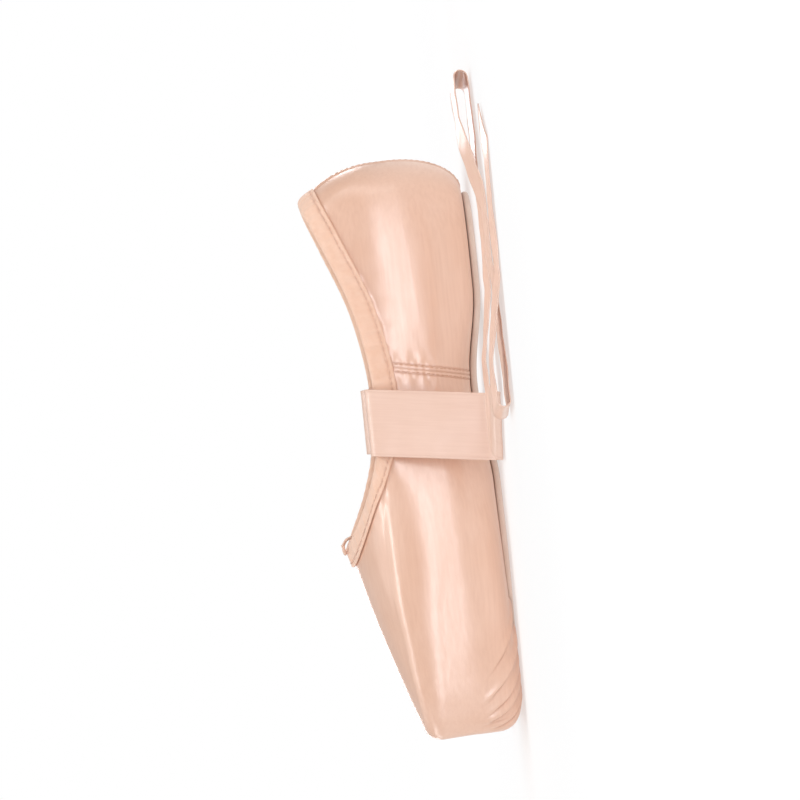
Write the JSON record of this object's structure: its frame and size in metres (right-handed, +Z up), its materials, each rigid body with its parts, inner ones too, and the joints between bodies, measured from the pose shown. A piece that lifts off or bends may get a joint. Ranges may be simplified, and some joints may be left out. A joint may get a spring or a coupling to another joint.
{
  "type": "pointe shoe",
  "caption": "Satin ballet pointe shoe with a stiff flat-ended toe box, short leather outsole, folded collar binding, tucked-in drawstring and loose ribbons.",
  "frame": {"origin": "on the floor, below the middle of the shoe's length and width, ribbons and drawstring left out", "axes": "+X from heel to toe, +Y to the shoe's left, +Z up"},
  "size_m": [0.2518, 0.3257, 0.0654],
  "materials": {
    "satin": "glossy peach satin weave",
    "binding_tape": "matt peach cotton tape",
    "sole_leather": "brushed pale leather",
    "insole_canvas": "plain cream canvas",
    "drawstring_cord": "fine plaited cord",
    "ribbon_satin": "soft peach satin ribbon"
  },
  "bodies": {
    "root": {"upper": "satin", "binding": "binding_tape", "outsole": "sole_leather", "insole": "insole_canvas", "drawstring": "drawstring_cord", "ribbon_left": "ribbon_satin", "ribbon_right": "ribbon_satin"}
  },
  "joints": []
}
